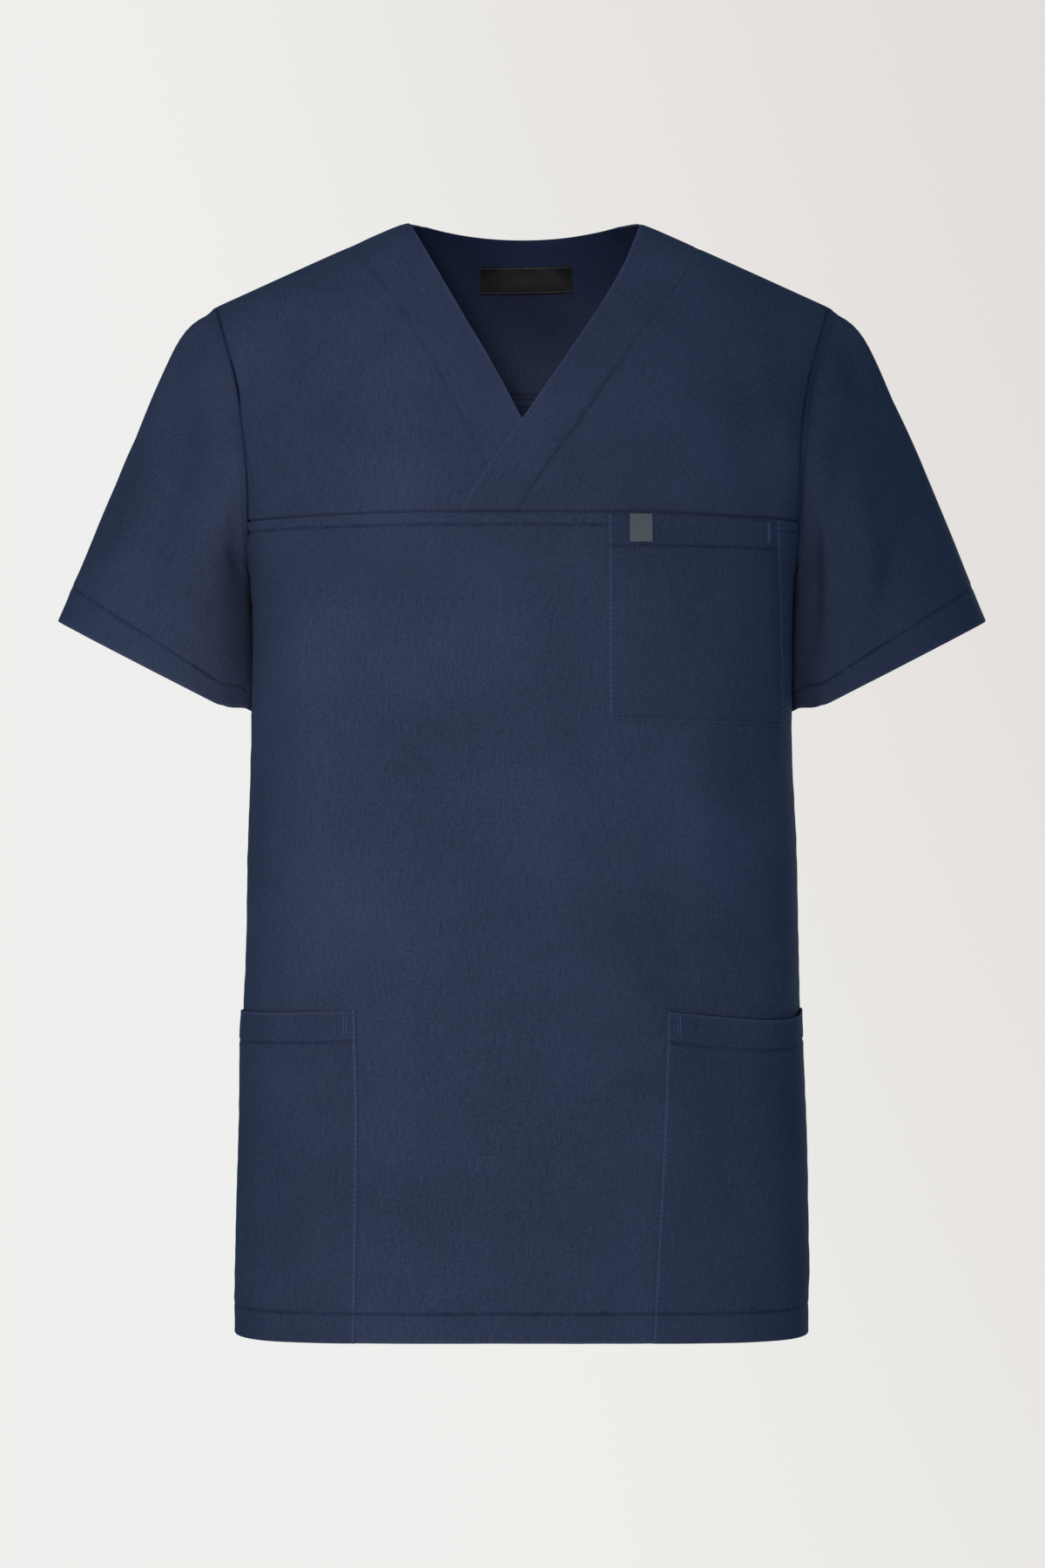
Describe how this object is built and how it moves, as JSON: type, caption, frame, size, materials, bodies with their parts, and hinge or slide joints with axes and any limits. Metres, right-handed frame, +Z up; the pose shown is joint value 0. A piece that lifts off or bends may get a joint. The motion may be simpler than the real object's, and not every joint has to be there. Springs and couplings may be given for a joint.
{
  "type": "medical scrub top",
  "caption": "Short-sleeved V-neck medical scrub top, filled out as worn, with a chest pocket, two hip pockets and crossed neckbands; neck, cuffs and hem open.",
  "frame": {"origin": "on the shoulder line, midway between the neck points, at their height", "axes": "+Z up, front of the garment faces -Y, +X is the wearer's left"},
  "size_m": [0.6312, 0.2514, 0.7441],
  "materials": {
    "twill": "navy polyester-cotton twill, fine weave, very slight sheen",
    "pocket_twill": "the same navy twill as a second layer, a little darker",
    "label_black": "black woven satin label, bare, glossy along its floats",
    "label_grey": "dark grey folded satin tab, bare"
  },
  "bodies": {
    "root": {"front_yoke_right": "twill", "front_yoke_left": "twill", "neckband_right": "twill", "neckband_left": "twill", "front_body": "twill", "back_body": "twill", "back_yoke": "twill", "sleeve_right": "twill", "sleeve_left": "twill", "chest_pocket": "pocket_twill", "hip_pocket_right": "pocket_twill", "hip_pocket_left": "pocket_twill", "neck_label": "label_black", "pocket_label": "label_grey"}
  },
  "joints": []
}
